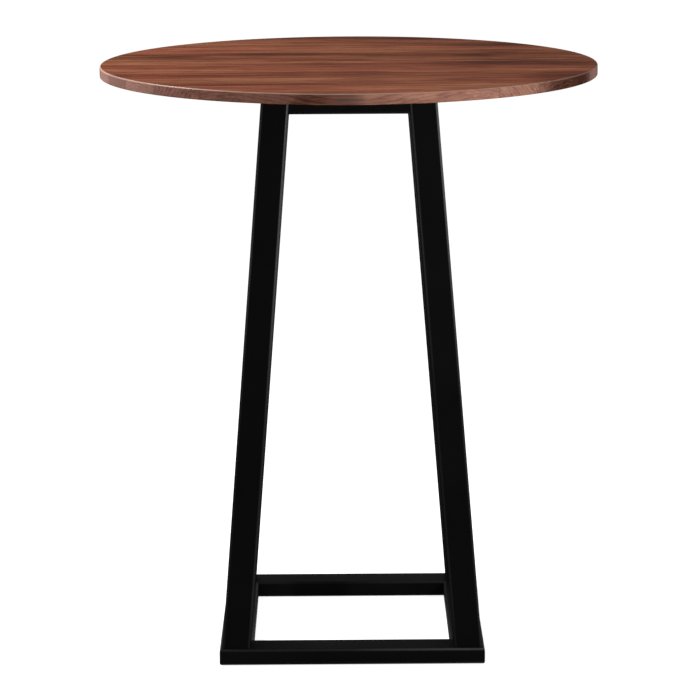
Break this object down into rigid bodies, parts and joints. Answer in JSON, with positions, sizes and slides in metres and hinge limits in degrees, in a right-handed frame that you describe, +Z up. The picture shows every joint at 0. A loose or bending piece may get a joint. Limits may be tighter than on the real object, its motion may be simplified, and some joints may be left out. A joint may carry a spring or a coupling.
{
  "type": "bar table",
  "caption": "Bar-height table: round solid-wood top on a black steel frame whose square tube legs lean in from a square floor ring to an upper frame with cross battens.",
  "frame": {"origin": "on the floor, under the middle of the round top", "axes": "+Z up, +X along the grain of the top (left to right as pictured), +Y to the rear"},
  "size_m": [0.9, 0.9, 1.065],
  "materials": {
    "walnut": "satin lacquer",
    "black_powder_coat": "satin black powder coat",
    "zinc_plated_steel": "zinc plated",
    "brass": "turned",
    "glide_plastic": "matte black nylon"
  },
  "bodies": {
    "root": {"board_01": "walnut", "board_02": "walnut", "board_03": "walnut", "board_04": "walnut", "board_05": "walnut", "board_06": "walnut", "board_07": "walnut", "board_08": "walnut", "board_09": "walnut", "board_10": "walnut", "board_11": "walnut", "board_12": "walnut", "front_bar": "black_powder_coat", "front_left_glide": "glide_plastic", "front_left_leg": "black_powder_coat", "front_rail": "black_powder_coat", "front_right_glide": "glide_plastic", "front_right_leg": "black_powder_coat", "left_bar": "black_powder_coat", "left_batten": "black_powder_coat", "left_rail": "black_powder_coat", "rear_bar": "black_powder_coat", "rear_left_glide": "glide_plastic", "rear_left_leg": "black_powder_coat", "rear_rail": "black_powder_coat", "rear_right_glide": "glide_plastic", "rear_right_leg": "black_powder_coat", "right_bar": "black_powder_coat", "right_batten": "black_powder_coat", "right_rail": "black_powder_coat", "threaded_inserts": "brass", "top_screws": "zinc_plated_steel", "washers": "zinc_plated_steel"}
  },
  "joints": []
}
